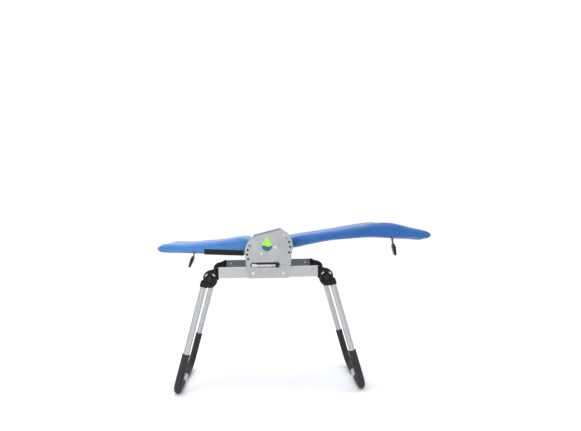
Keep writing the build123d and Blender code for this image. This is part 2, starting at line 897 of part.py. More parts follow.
def make_backrest_pad():
    bar = backrest_bar_centre
    bend = backrest_bend
    tip = backrest_tip
    lower = backrest_lower_points()
    upper = [
        Vector(tip.X - 15, 0, tip.Z + 19),
        Vector(bend.X + 75, 0, bend.Z + 23.5),
        Vector(bend.X + 35, 0, bend.Z + 27),
        Vector(bend.X - 37, 0, bend.Z + 18),
        Vector(bar.X + 26, 0, bar.Z + 32),
        Vector(bar.X - 8, 0, bar.Z + 18),
    ]
    edges = [Line(a, b) for a, b in zip(lower, lower[1:])]
    edges.append(ThreePointArc(lower[-1], tip, upper[0]))
    edges += [Line(a, b) for a, b in zip(upper, upper[1:])]
    edges.append(Line(upper[-1], lower[0]))
    pad = along_y(side_face(*edges), -pad_half_width, pad_half_width)
    pad -= bar_along(backrest_frame_path(), frame_tube_radius + pad_channel_gap)
    return pad - rod(bar, bar_radius + pad_channel_gap, -rail_y, rail_y)


backrest_strap_x = backrest_reach - 154.5
backrest_strap_top = Vector(
    backrest_strap_x, strap_y, backrest_underside(backrest_strap_x) - 0.8
)
backrest_strap_run = Vector(3.6, 0, -22)


# ---- hip sling between the two pads ----

def make_hip_sling():
    left = seat_pivot.X - seat_end_gap + sling_gap
    right = backrest_bar_centre.X - 8 - sling_gap
    left_z = seat_pivot.Z + 8
    right_z = backrest_pivot.Z + 4
    sag = (left_z + right_z) / 2 - 8
    middle = (left + right) / 2
    down = Vector(0, 0, -sling_thickness)
    upper = [Vector(left, 0, left_z), Vector(middle, 0, sag), Vector(right, 0, right_z)]
    lower = [point + down for point in upper]
    sling = side_face(
        ThreePointArc(*upper),
        Line(upper[2], lower[2]),
        ThreePointArc(*reversed(lower)),
        Line(lower[0], upper[0]),
    )
    return along_y(sling, -pad_half_width, pad_half_width)


# ---- every piece, by its node's name ----

def corner_pieces():
    """The pieces of the four leg hinges and of both legs."""
    pieces = {}
    yoke = make_hinge_yoke()
    hub = make_leg_hub()
    button = make_release_button()
    tube = make_leg_tube()
    sleeves = both_sides(make_leg_sleeve())
    rivets = both_sides(make_leg_rivet())
    pins = both_sides(make_hinge_pin())
    springs = both_sides(make_button_spring())
    rings = both_sides(make_wear_ring())
    plug_rivets = both_sides(make_plug_rivet())
    for end, place in (("foot", lambda part: part), ("head", to_head)):
        for side, turn in (("left", lambda part: part), ("right", to_right)):
            pieces[f"{end}_{side}_hinge_yoke"] = place(turn(yoke))
            pieces[f"{end}_{side}_leg_hub"] = place(turn(hub))
            pieces[f"{end}_{side}_release_button"] = place(turn(button))
        pieces[f"{end}_leg_tube"] = place(tube)
        pieces[f"{end}_leg_sleeves"] = place(sleeves)
        pieces[f"{end}_leg_rivets"] = place(rivets)
    pieces["hinge_pins"] = Compound([*pins.solids(), *to_head(pins).solids()])
    pieces["release_button_springs"] = Compound(
        [*springs.solids(), *to_head(springs).solids()]
    )
    pieces["hinge_wear_rings"] = Compound([*rings.solids(), *to_head(rings).solids()])
    pieces["rail_plug_rivets"] = Compound(
        [*plug_rivets.solids(), *to_head(plug_rivets).solids()]
    )
    return pieces


def section_pieces(name, pivot, index_centres, bar_centre):
    """The brackets, bar and index pins of the seat or of the backrest."""
    pieces = {f"{name}_cross_bar": make_cross_bar(bar_centre)}
    bracket = make_bracket(pivot, index_centres, bar_centre)
    pin = make_index_pin(index_centres[0])
    for side, turn in (("left", lambda part: part), ("right", to_right)):
        pieces[f"{side}_{name}_bracket"] = turn(bracket)
        pieces[f"{side}_{name}_index_pin"] = turn(pin)
    pieces[f"{name}_index_housings"] = both_sides(make_index_housing(index_centres[0]))
    pieces[f"{name}_index_springs"] = both_sides(make_index_spring(index_centres[0]))
    pieces[f"{name}_pivot_bolts"] = both_sides(make_pivot_bolt(pivot))
    return pieces


def make_pieces():
    pieces = {}
    for side, turn in (("left", lambda part: part), ("right", to_right)):
        pieces[f"{side}_rail"] = turn(make_rail())
        pieces[f"{side}_side_plate"] = turn(make_side_plate())
        pieces[f"{side}_lever_blade"] = turn(make_lever_blade())
        pieces[f"{side}_lever_knob"] = turn(make_lever_knob())
    pieces["cross_tubes"] = Compound(
        [make_cross_tube(x).solid() for x in (-cross_tube_x, cross_tube_x)]
    )
    bolts = [both_sides(make_cross_tube_bolt(x)) for x in (-cross_tube_x, cross_tube_x)]
    pieces["cross_tube_bolts"] = Compound([s for pair in bolts for s in pair.solids()])
    pieces["side_plate_badges"] = both_sides(make_badge())
    pieces["lever_supports"] = both_sides(make_lever_support())
    pieces["lever_screws"] = both_sides(make_lever_screw())
    pieces["hip_sling"] = make_hip_sling()
    pieces.update(corner_pieces())
    pieces.update(section_pieces("seat", seat_pivot, seat_index_centres, seat_bar_centre))
    pieces.update(
        section_pieces(
            "backrest", backrest_pivot, backrest_index_centres, backrest_bar_centre
        )
    )
    pieces["seat_frame_tube"] = make_seat_frame_tube()
    pieces["seat_pad"] = make_seat_pad()
    pieces["seat_cover_flaps"] = both_sides(make_seat_flap())
    pieces["seat_strap"] = make_strap(seat_strap_top, seat_strap_run)
    pieces["seat_buckle"] = make_buckle(seat_strap_top, seat_strap_run)
    pieces["backrest_frame_tube"] = make_backrest_frame_tube()
    pieces["backrest_pad"] = make_backrest_pad()
    pieces["backrest_strap"] = make_strap(backrest_strap_top, backrest_strap_run)
    pieces["backrest_buckle"] = make_buckle(backrest_strap_top, backrest_strap_run)
    return pieces


# the seat's tip and the backrest's tip are the object's two ends
origin_x = (backrest_reach - seat_reach) / 2


def main():
    os.makedirs("parts", exist_ok=True)
    for name, piece in make_pieces().items():
        export_step(Pos(-origin_x, 0, 0) * piece, f"parts/{name}.step")


main()
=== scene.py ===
import math

import bpy
from mathutils import Matrix, Vector
from mathutils.bvhtree import BVHTree


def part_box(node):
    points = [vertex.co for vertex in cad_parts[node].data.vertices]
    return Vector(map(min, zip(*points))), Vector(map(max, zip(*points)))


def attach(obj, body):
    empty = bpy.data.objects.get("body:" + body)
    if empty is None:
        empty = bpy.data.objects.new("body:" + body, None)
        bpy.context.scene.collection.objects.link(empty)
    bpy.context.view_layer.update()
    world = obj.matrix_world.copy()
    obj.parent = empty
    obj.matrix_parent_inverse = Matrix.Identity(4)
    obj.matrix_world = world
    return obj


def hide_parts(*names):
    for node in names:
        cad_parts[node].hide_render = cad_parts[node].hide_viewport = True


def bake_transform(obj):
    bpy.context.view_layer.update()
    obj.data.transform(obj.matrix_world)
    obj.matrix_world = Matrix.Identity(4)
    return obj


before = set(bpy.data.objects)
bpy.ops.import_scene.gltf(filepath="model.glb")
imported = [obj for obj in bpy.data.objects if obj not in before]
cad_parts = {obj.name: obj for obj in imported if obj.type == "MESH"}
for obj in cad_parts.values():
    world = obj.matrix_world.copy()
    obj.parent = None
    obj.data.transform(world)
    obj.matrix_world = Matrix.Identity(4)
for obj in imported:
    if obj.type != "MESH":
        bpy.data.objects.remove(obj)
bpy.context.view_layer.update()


# ---- small tools ----

def linearColour(hexText):
    # a material's sRGB hex colour, as the linear numbers that a shader wants
    parts = [int(hexText[i:i + 2], 16) / 255 for i in (1, 3, 5)]
    return [c / 12.92 if c <= 0.04045 else ((c + 0.055) / 1.055) ** 2.4 for c in parts] + [1]


def addNode(tree, kind, settings=None, values=None, links=None):
    node = tree.nodes.new(kind)
    for name, value in (settings or {}).items():
        setattr(node, name, value)
    for name, value in (values or {}).items():
        node.inputs[name].default_value = value
    for name, socket in (links or {}).items():
        tree.links.new(socket, node.inputs[name])
    return node


def startMaterial(name, values):
    material = bpy.data.materials.new(name)
    material.use_nodes = True
    tree = material.node_tree
    shader = tree.nodes["Principled BSDF"]
    for key, value in values.items():
        shader.inputs[key].default_value = value
    return material, tree, shader


def chooseOnly(piece):
    for other in bpy.context.selected_objects:
        other.select_set(False)
    if piece:
        piece.select_set(True)
        bpy.context.view_layer.objects.active = piece


def applyPlace(piece):
    chooseOnly(piece)
    bpy.ops.object.transform_apply(location=True, rotation=True, scale=True)


def applyModifiers(piece):
    chooseOnly(piece)
    for modifier in list(piece.modifiers):
        bpy.ops.object.modifier_apply(modifier=modifier.name)


def smoothSides(piece, degrees=35):
    chooseOnly(piece)
    bpy.ops.object.shade_smooth_by_angle(angle=math.radians(degrees))


def joinPieces(pieces, name):
    chooseOnly(pieces[0])
    for piece in pieces[1:]:
        piece.select_set(True)
    bpy.ops.object.join()
    pieces[0].name = name
    return pieces[0]


def meshPiece(name, corners, faces):
    mesh = bpy.data.meshes.new(name)
    mesh.from_pydata(corners, [], faces)
    mesh.validate()
    piece = bpy.data.objects.new(name, mesh)
    bpy.context.collection.objects.link(piece)
    return piece


def give(piece, material):
    piece.data.materials.clear()
    piece.data.materials.append(material)


def smoothStep(low, high, x):
    t = min(max((x - low) / (high - low), 0), 1)
    return t * t * (3 - 2 * t)


# ---- camera ----

cameraSettings = {
    "distance": 2.1,      # from the near rail's outer face
    "height": 0.6795,
    "aside": 0.0013,      # towards the head end, from the middle of the rails
    "lens": 33.36,
    "farthest": 100,
    "turn": 2.41,         # degrees towards the head end
    "tilt": 0.53,         # degrees up
    "roll": -0.92,
}


def addCamera():
    s = cameraSettings
    low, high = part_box("left_rail")
    bpy.ops.object.camera_add()
    camera = bpy.context.object
    camera.name = "camera"
    camera.data.lens = s["lens"]
    camera.data.clip_end = s["farthest"]
    place = Vector(((low.x + high.x) / 2 + s["aside"], low.y - s["distance"], s["height"]))
    look = Matrix.Rotation(math.radians(-s["turn"]), 4, "Z")
    look = look @ Matrix.Rotation(math.radians(90 + s["tilt"]), 4, "X")
    look = look @ Matrix.Rotation(math.radians(s["roll"]), 4, "Z")
    camera.matrix_world = Matrix.Translation(place) @ look
    bpy.context.scene.camera = camera


addCamera()
print("camera is placed")


# ---- studio: floor and lights ----

studio = {
    "floorSize": 60,
    "floorColour": "#FEFEFE",
    "skyColour": "#FFFFFF",
    "skyStrength": 1.06,
    "aim": (0, 0, 0.4),
    "lights": [
        # name, place, size, watts: a wide one overhead, and a small one on the seat's side
        ["topSoftbox", (0.1, 0.3, 3.0), 3.0, 46],
        ["seatSoftbox", (-0.9, -1.2, 0.9), 0.5, 6],
    ],
}


def makeStudio():
    bpy.ops.mesh.primitive_plane_add(size=studio["floorSize"], location=(0, 0, 0))
    floor = bpy.context.object
    floor.name = "floor"
    material, tree, shader = startMaterial(
        "studioFloor", {"Base Color": linearColour(studio["floorColour"]), "Roughness": 0.9}
    )
    give(floor, material)
    world = bpy.data.worlds.new("studioWorld")
    world.use_nodes = True
    sky = world.node_tree.nodes["Background"]
    sky.inputs["Color"].default_value = linearColour(studio["skyColour"])
    sky.inputs["Strength"].default_value = studio["skyStrength"]
    bpy.context.scene.world = world
    aim = Vector(studio["aim"])
    for name, place, size, watts in studio["lights"]:
        bpy.ops.object.light_add(type="AREA", location=place)
        light = bpy.context.object
        light.name = name
        light.data.size = size
        light.data.energy = watts
        light.rotation_euler = (aim - Vector(place)).to_track_quat("-Z", "Y").to_euler()
    bpy.context.scene.view_settings.view_transform = "Standard"


makeStudio()
print("studio is lit")


# ---- materials ----

coverCloth = {
    # knitted polyester spacer mesh: soft, dull, with open pores
    "shades": {
        # light, middle and pore; the backrest's shades are painted darker than the seat's: painted
        # shade on the backrest, painted light on the seat
        "seat": ("#4C82C0", "#3868A8", "#254A84"),
        "backrest": ("#3168AA", "#235294", "#173A74"),
    },
    "poreSpacing": 0.0066,    # drawn about twice as coarse as knitted, so that it shows
    "poreDepth": 0.55,        # how much of the pore's shade shows
    "yarnScale": 1400.0,
    "yarnHeight": 0.25,
    "roughness": 0.82,
}


def addMath(tree, operation, first, second=None, third=None):
    # each input is a socket or a plain number; gives back the result's socket
    inputs = [(i, x) for i, x in enumerate((first, second, third)) if x is not None]
    numbers = {i: x for i, x in inputs if isinstance(x, (int, float))}
    sockets = {i: x for i, x in inputs if i not in numbers}
    node = addNode(tree, "ShaderNodeMath", {"operation": operation}, numbers, sockets)
    return node.outputs[0]


def addPores(tree, place, spacing):
    # rows of pores, the product of two sines on each side, mixed by the way that a face looks
    parts = addNode(tree, "ShaderNodeSeparateXYZ", links={0: place})
    normal = addNode(tree, "ShaderNodeTexCoord").outputs["Normal"]
    facing = addNode(tree, "ShaderNodeSeparateXYZ", links={0: normal})
    wave = {}
    weight = {}
    for axis in "XYZ":
        turn = addMath(tree, "MULTIPLY", parts.outputs[axis], math.pi / spacing)
        wave[axis] = addMath(tree, "SINE", turn)
        weight[axis] = addMath(tree, "POWER", addMath(tree, "ABSOLUTE", facing.outputs[axis]), 4)
    total = 0.0
    share = 0.0
    for across, first, second in (("Z", "X", "Y"), ("Y", "X", "Z"), ("X", "Y", "Z")):
        dots = addMath(tree, "MULTIPLY", wave[first], wave[second])
        total = addMath(tree, "ADD", total, addMath(tree, "MULTIPLY", dots, weight[across]))
        share = addMath(tree, "ADD", share, weight[across])
    pores = addNode(
        tree, "ShaderNodeMapRange", {"interpolation_type": "SMOOTHSTEP"},
        {"From Min": 0.15, "From Max": 0.75, "To Min": 0.0, "To Max": 1.0},
        {"Value": addMath(tree, "DIVIDE", total, share)}
    )
    return pores.outputs["Result"]


def makeCoverCloth(name, shade):
    s = coverCloth
    light, middle, pore = s["shades"][shade]
    material, tree, shader = startMaterial(name, {
        "Roughness": s["roughness"],
        "Sheen Weight": 0.35,
        "Sheen Roughness": 0.45,
        "Specular IOR Level": 0.25,
    })
    place = addNode(tree, "ShaderNodeTexCoord").outputs["Object"]
    pores = addPores(tree, place, s["poreSpacing"])
    fading = addNode(
        tree, "ShaderNodeTexNoise", values={"Scale": 9.0, "Detail": 3.0, "Roughness": 0.55},
        links={"Vector": place}
    )
    base = addNode(
        tree, "ShaderNodeMix", {"data_type": "RGBA"},
        {"A": linearColour(middle), "B": linearColour(light)},
        {"Factor": fading.outputs["Fac"]}
    )
    colour = addNode(
        tree, "ShaderNodeMix", {"data_type": "RGBA"}, {"B": linearColour(pore)},
        {"Factor": addMath(tree, "MULTIPLY", pores, s["poreDepth"]),
         "A": base.outputs["Result"]}
    )
    tree.links.new(colour.outputs["Result"], shader.inputs["Base Color"])
    yarn = addNode(
        tree, "ShaderNodeTexNoise", values={"Scale": s["yarnScale"], "Detail": 2.0},
        links={"Vector": place}
    )
    raised = addMath(tree, "SUBTRACT", 1.0, pores)
    height = addMath(tree, "MULTIPLY_ADD", yarn.outputs["Fac"], s["yarnHeight"], raised)
    bump = addNode(
        tree, "ShaderNodeBump", values={"Strength": 0.5, "Distance": 0.0012},
        links={"Height": height}
    )
    tree.links.new(bump.outputs["Normal"], shader.inputs["Normal"])
    return material


def makeGrainedMaterial(name, colour, values, grain):
    # a colour with a fine grain: moulded, cast or sprayed surfaces
    material, tree, shader = startMaterial(name, values)
    place = addNode(tree, "ShaderNodeTexCoord").outputs["Object"]
    patches = addNode(
        tree, "ShaderNodeTexNoise", values={"Scale": grain["patchScale"], "Detail": 4.0},
        links={"Vector": place}
    )
    ramp = addNode(
        tree, "ShaderNodeMapRange",
        values={"From Min": 0.35, "From Max": 0.65}, links={"Value": patches.outputs["Fac"]}
    )
    mix = addNode(
        tree, "ShaderNodeMix", {"data_type": "RGBA"},
        {"A": linearColour(colour[0]), "B": linearColour(colour[1])},
        {"Factor": ramp.outputs["Result"]}
    )
    tree.links.new(mix.outputs["Result"], shader.inputs["Base Color"])
    rough = addNode(
        tree, "ShaderNodeMapRange",
        values={"From Min": 0.3, "From Max": 0.7,
                "To Min": grain["roughness"][0], "To Max": grain["roughness"][1]},
        links={"Value": patches.outputs["Fac"]}
    )
    tree.links.new(rough.outputs["Result"], shader.inputs["Roughness"])
    texture = addNode(
        tree, "ShaderNodeTexNoise", values={"Scale": grain["bumpScale"], "Detail": 3.0},
        links={"Vector": place}
    )
    bump = addNode(
        tree, "ShaderNodeBump",
        values={"Strength": grain["bump"], "Distance": grain["bumpDepth"]},
        links={"Height": texture.outputs["Fac"]}
    )
    tree.links.new(bump.outputs["Normal"], shader.inputs["Normal"])
    return material, tree, shader, mix


edgeBlur = 0.0005         # half the width over which the tube's colour blends into the painted shade


def makeTubeMetal(name, colour, along, shadedInside=None):
    # drawn aluminium tube, satin anodised: fine lines run along the tube
    # an optional painted shade: a distance from the middle plane, and the colour painted as shade
    # on all that lies nearer to it
    material, tree, shader = startMaterial(name, {"Metallic": 1.0, "Roughness": 0.3})
    place = addNode(tree, "ShaderNodeTexCoord").outputs["Object"]
    stretch = addNode(
        tree, "ShaderNodeMapping", values={"Scale": along}, links={"Vector": place}
    )
    lines = addNode(
        tree, "ShaderNodeTexNoise", values={"Scale": 420.0, "Detail": 3.0},
        links={"Vector": stretch.outputs["Vector"]}
    )
    clouds = addNode(
        tree, "ShaderNodeTexNoise", values={"Scale": 14.0, "Detail": 2.0}, links={"Vector": place}
    )
    mix = addNode(
        tree, "ShaderNodeMix", {"data_type": "RGBA"},
        {"A": linearColour(colour[0]), "B": linearColour(colour[1])},
        {"Factor": clouds.outputs["Fac"]}
    )
    # painted shade: whatever lies nearer the middle plane than the edge takes the shade's colour
    if shadedInside:
        parts = addNode(tree, "ShaderNodeSeparateXYZ", links={0: place})
        across = addMath(tree, "ABSOLUTE", parts.outputs["Y"])
        edge, shadeColour = shadedInside
        outside = addNode(
            tree, "ShaderNodeMapRange",
            values={"From Min": edge - edgeBlur, "From Max": edge + edgeBlur},
            links={"Value": across}
        )
        mix = addNode(
            tree, "ShaderNodeMix", {"data_type": "RGBA"}, {"A": linearColour(shadeColour)},
            {"Factor": outside.outputs["Result"], "B": mix.outputs["Result"]}
        )
    tree.links.new(mix.outputs["Result"], shader.inputs["Base Color"])
    rough = addNode(
        tree, "ShaderNodeMapRange",
        values={"From Min": 0.3, "From Max": 0.7, "To Min": 0.3, "To Max": 0.44},
        links={"Value": lines.outputs["Fac"]}
    )
    tree.links.new(rough.outputs["Result"], shader.inputs["Roughness"])
    bump = addNode(
        tree, "ShaderNodeBump", values={"Strength": 0.08, "Distance": 0.0002},
        links={"Height": lines.outputs["Fac"]}
    )
    tree.links.new(bump.outputs["Normal"], shader.inputs["Normal"])
    return material


def makePlatePaint():
    # powder coat on steel plate: light grey with a fine speckle and an orange-peel skin
    material, tree, shader, base = makeGrainedMaterial(
        "speckledPowderCoat", ("#96989B", "#A1A3A6"), {"Metallic": 0.0},
        {"patchScale": 18.0, "roughness": (0.4, 0.5),
         "bumpScale": 420.0, "bump": 0.18, "bumpDepth": 0.0004}
    )
    place = addNode(tree, "ShaderNodeTexCoord").outputs["Object"]
    specks = addNode(
        tree, "ShaderNodeTexNoise", values={"Scale": 330.0, "Detail": 1.0},   # 3 mm specks
        links={"Vector": place}
    )
    dark = addNode(
        tree, "ShaderNodeMapRange", values={"From Min": 0.53, "From Max": 0.66, "To Max": 0.42},
        links={"Value": specks.outputs["Fac"]}
    )
    mix = addNode(
        tree, "ShaderNodeMix", {"data_type": "RGBA"}, {"B": linearColour("#6E7073")},
        {"Factor": dark.outputs["Result"], "A": base.outputs["Result"]}
    )
    tree.links.new(mix.outputs["Result"], shader.inputs["Base Color"])
    return material


def makeWebbing():
    # woven polyester webbing: ribs across, a dull black
    material, tree, shader = startMaterial(
        "wovenWebbing", {"Roughness": 0.8, "Sheen Weight": 0.2, "Specular IOR Level": 0.3}
    )
    place = addNode(tree, "ShaderNodeTexCoord").outputs["Object"]
    ribs = addNode(
        tree, "ShaderNodeTexWave", {"wave_type": "BANDS", "bands_direction": "Z"},
        {"Scale": 160.0, "Distortion": 0.6, "Detail": 1.0}, {"Vector": place}   # 2 mm ribs
    )
    mix = addNode(
        tree, "ShaderNodeMix", {"data_type": "RGBA"},
        {"A": linearColour("#141416"), "B": linearColour("#2B2C30")},
        {"Factor": ribs.outputs["Fac"]}
    )
    tree.links.new(mix.outputs["Result"], shader.inputs["Base Color"])
    bump = addNode(
        tree, "ShaderNodeBump", values={"Strength": 0.6, "Distance": 0.0006},
        links={"Height": ribs.outputs["Fac"]}
    )
    tree.links.new(bump.outputs["Normal"], shader.inputs["Normal"])
    return material


badgePrint = {
    "footColour": "#1C4A77",
    "dropColour": "#8FD23C",
    "split": 0.36,        # height of the line between them, as a share of the badge's
    "waves": 160.0,       # radians in a metre
    "waveHeight": 0.0025,
    "blur": 0.0006,
}


def makeBadgeFinish():
    # printed plastic badge: a green drop over a navy foot, split by a soft wave
    s = badgePrint
    material, tree, shader = startMaterial(
        "printedBadge", {"Roughness": 0.25, "Coat Weight": 0.4, "Coat Roughness": 0.1}
    )
    low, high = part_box("side_plate_badges")
    place = addNode(tree, "ShaderNodeTexCoord").outputs["Object"]
    parts = addNode(tree, "ShaderNodeSeparateXYZ", links={0: place})
    ripple = addMath(tree, "SINE", addMath(tree, "MULTIPLY", parts.outputs["X"], s["waves"]))
    level = addMath(tree, "MULTIPLY_ADD", ripple, s["waveHeight"], parts.outputs["Z"])
    split = low.z + (high.z - low.z) * s["split"]
    edge = addNode(
        tree, "ShaderNodeMapRange",
        values={"From Min": split - s["blur"], "From Max": split + s["blur"]},
        links={"Value": level}
    )
    mix = addNode(
        tree, "ShaderNodeMix", {"data_type": "RGBA"},
        {"A": linearColour(s["footColour"]), "B": linearColour(s["dropColour"])},
        {"Factor": edge.outputs["Result"]}
    )
    tree.links.new(mix.outputs["Result"], shader.inputs["Base Color"])
    return material


clothMaterials = {
    # one cloth in two copies: a lighter copy for the seat as painted light, a darker copy for the
    # backrest as painted shade
    "seat": makeCoverCloth("spacerMeshSeatLitCloth", "seat"),
    "backrest": makeCoverCloth("spacerMeshBackrestShadedCloth", "backrest"),
}
tubeMaterial = makeTubeMetal("anodisedAluminium", ("#A6A8AB", "#B4B6B9"), (1, 1, 0.04))
# the rails' inner faces, and a narrow rim of the faces next to them, are painted darker: painted
# shade under the seat
shadeRim = 0.001
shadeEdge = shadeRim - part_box("left_rail")[1].y
railMaterial = makeTubeMetal(
    "anodisedRailPaintedShade", ("#AAADB1", "#B8BABD"), (0.04, 1, 1), shadedInside=(shadeEdge, "#6A6C70")
)
plateMaterial = makePlatePaint()
nylonMaterial = makeGrainedMaterial(
    "mouldedNylon", ("#060607", "#0E0F10"), {"Specular IOR Level": 0.22},
    {"patchScale": 30.0, "roughness": (0.42, 0.6),
     "bumpScale": 900.0, "bump": 0.25, "bumpDepth": 0.0003}
)[0]
rubberMaterial = makeGrainedMaterial(
    "mouldedRubber", ("#1F2022", "#2A2B2D"), {"Specular IOR Level": 0.35},
    {"patchScale": 22.0, "roughness": (0.62, 0.8),
     "bumpScale": 700.0, "bump": 0.3, "bumpDepth": 0.0004}
)[0]
plasticMaterial = makeGrainedMaterial(
    "mouldedAcetal", ("#070708", "#101112"), {"Specular IOR Level": 0.35},
    {"patchScale": 40.0, "roughness": (0.32, 0.45),
     "bumpScale": 800.0, "bump": 0.15, "bumpDepth": 0.0002}
)[0]
steelMaterial = makeGrainedMaterial(
    "stainlessSteel", ("#C9CBCE", "#DCDEE0"), {"Metallic": 1.0},
    {"patchScale": 60.0, "roughness": (0.18, 0.3),
     "bumpScale": 1200.0, "bump": 0.05, "bumpDepth": 0.0001}
)[0]
blackSteelMaterial = makeGrainedMaterial(
    "blackOxideSteel", ("#0C0D0E", "#18191B"), {"Metallic": 0.3},
    {"patchScale": 25.0, "roughness": (0.4, 0.55),
     "bumpScale": 500.0, "bump": 0.08, "bumpDepth": 0.0002}
)[0]
flapMaterial = makeGrainedMaterial(
    "hookAndLoopBand", ("#16130F", "#221E1C"), {"Sheen Weight": 0.3, "Specular IOR Level": 0.2},
    {"patchScale": 160.0, "roughness": (0.85, 0.95),
     "bumpScale": 1500.0, "bump": 0.8, "bumpDepth": 0.0008}
)[0]
pipingMaterial = makeGrainedMaterial(
    "polyesterPiping", ("#2B5A96", "#386CAC"), {"Sheen Weight": 0.3, "Specular IOR Level": 0.25},
    {"patchScale": 900.0, "roughness": (0.75, 0.9),
     "bumpScale": 1300.0, "bump": 0.6, "bumpDepth": 0.0004}
)[0]
webbingMaterial = makeWebbing()
badgeMaterial = makeBadgeFinish()
print("materials are mixed")


# ---- CAD pieces that stay: each gets its finish ----

finishes = [
    (railMaterial, ["left_rail", "right_rail", "seat_frame_tube", "backrest_frame_tube"]),
    (tubeMaterial, ["foot_leg_tube", "head_leg_tube", "cross_tubes",
                    "seat_cross_bar", "backrest_cross_bar", "rail_plug_rivets"]),
    (plateMaterial, ["left_side_plate", "right_side_plate"]),
    (rubberMaterial, ["foot_leg_sleeves", "head_leg_sleeves"]),
    (steelMaterial, ["cross_tube_bolts", "lever_screws", "hinge_pins", "seat_pivot_bolts",
                     "backrest_pivot_bolts", "hinge_wear_rings",
                     "left_lever_blade", "right_lever_blade", "release_button_springs",
                     "seat_index_springs", "backrest_index_springs"]),
    (blackSteelMaterial, ["foot_leg_rivets", "head_leg_rivets"]
     + [f"{side}_{part}" for side in ("left", "right")
        for part in ("seat_bracket", "backrest_bracket",
                     "seat_index_pin", "backrest_index_pin")]),
    (plasticMaterial, ["left_lever_knob", "right_lever_knob", "lever_supports",
                       "seat_index_housings", "backrest_index_housings"]),
    (badgeMaterial, ["side_plate_badges"]),
]
hingeCorners = [(end, side) for end in ("foot", "head") for side in ("left", "right")]
for end, side in hingeCorners:
    finishes.append((nylonMaterial, [f"{end}_{side}_hinge_yoke", f"{end}_{side}_leg_hub"]))
    finishes.append((plasticMaterial, [f"{end}_{side}_release_button"]))
for material, names in finishes:
    for name in names:
        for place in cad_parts[name].material_slots:
            place.material = material
print("CAD pieces have their finishes")


# ---- padded covers of the seat and the backrest ----

padRay = {
    "aside": 0.0113,      # off the middle plane, where no edge of the CAD mesh lies
    "start": 0.1,         # above or below the pad
}
padShape = {
    "stations": 70,
    "thinnest": 0.003,
    "smoothing": 6,       # rounds over the heights along the pad
    "hipSharper": 3,      # the nose's corners, over those at the hip end
    "noseFade": 0.09,     # from the nose, over which the dish of the top starts
    "hipFade": 0.06,      # and from the hip end
    "noseBlend": 0.08,    # over which the nose's reach dies out
}
clothSettings = {
    "frames": 20,
    "quality": 5,
    "mass": 0.2,
    "stretchStiffness": 18,
    "shearStiffness": 8,
    "bendStiffness": 0.6,
    "settleFactor": 0.5,
    "settleRounds": 3,
}
padSection = {
    "flatSteps": 24,      # over the top and over the underside
    "cornerSteps": 6,
    "sideBulge": 0.0015,
    "underDish": 0.4,     # share of the dish of the top
    "mostRound": 0.49,    # largest corner radius, as a share of the thickness or half width
}
padSettings = {
    "seatCover": {
        "node": "seat_pad", "body": "seat", "fill": 0.6,
        "noseEnd": "low", "noseCorner": 0.02, "noseReach": 0.005, "edgeRadius": 0.015,
        "deflate": 0.004, "endInset": 0.0006, "cap": 0.0055, "pressure": 4.0, "voxel": 0.005,
        "dish": 0.005,
    },
    "backrestCover": {
        "node": "backrest_pad", "body": "backrest", "fill": 0.6,
        "noseEnd": "high", "noseCorner": 0.022, "noseReach": 0.009, "edgeRadius": 0.016,
        "deflate": 0.004, "endInset": 0.0006, "cap": 0.0055, "pressure": 4.0, "voxel": 0.006,
        "dish": 0.005,
    },
}


def skinOf(piece):
    # a piece's surface, to be felt by rays even while the piece is hidden
    mesh = piece.data
    return BVHTree.FromPolygons(
        [v.co.copy() for v in mesh.vertices], [tuple(p.vertices) for p in mesh.polygons]
    )


softSkins = {name: skinOf(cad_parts[name])
             for name in ("seat_pad", "backrest_pad", "hip_sling")}


def padHeights(node, x):
    # top and bottom of the CAD piece at this place along it, near its middle
    low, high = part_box(node)
    found = []
    for start, way in ((high.z + padRay["start"], -1), (low.z - padRay["start"], 1)):
        origin = Vector((x, padRay["aside"], start))
        point = softSkins[node].ray_cast(origin, Vector((0, 0, way)))[0]
        if point is None:
            return None
        found.append(point.z)
    return found


def padStations(low, high, count):
    # closer together near both ends
    return [low + (high - low) * (1 - math.cos(math.pi * i / count)) / 2 for i in range(count + 1)]


def smoothed(values, rounds):
    for _ in range(rounds):
        values = [values[0]] + [
            (a + 2 * b + c) / 4 for a, b, c in zip(values, values[1:], values[2:])
        ] + [values[-1]]
    return values


def roundedLoop(halfWidth, bottom, top, radius, dish):
    # one cross-section, from the top's right edge over the left side to the underside,
    # and back up the right side
    s = padSection
    radius = min(radius, (top - bottom) * s["mostRound"], halfWidth * s["mostRound"])
    flat = halfWidth - radius
    across = [flat - 2 * flat * i / s["flatSteps"] for i in range(s["flatSteps"] + 1)]
    turns = [math.pi / 2 * i / s["cornerSteps"] for i in range(1, s["cornerSteps"])]
    dips = [dish * (1 - (y / halfWidth) ** 2) ** 2 for y in across]
    over = [(y, top - dip) for y, dip in zip(across, dips)]
    under = [(-y, bottom + s["underDish"] * dip) for y, dip in zip(across, dips)]
    side = [
        (-flat - radius * math.sin(a), top - radius + radius * math.cos(a)) for a in turns
    ] + [
        (-halfWidth, top - radius),
        (-halfWidth - s["sideBulge"], (top + bottom) / 2),
        (-halfWidth, bottom + radius),
    ] + [
        (-flat - radius * math.cos(a), bottom + radius - radius * math.sin(a)) for a in turns
    ]
    return over + side + under + [(-y, z) for y, z in reversed(side)]


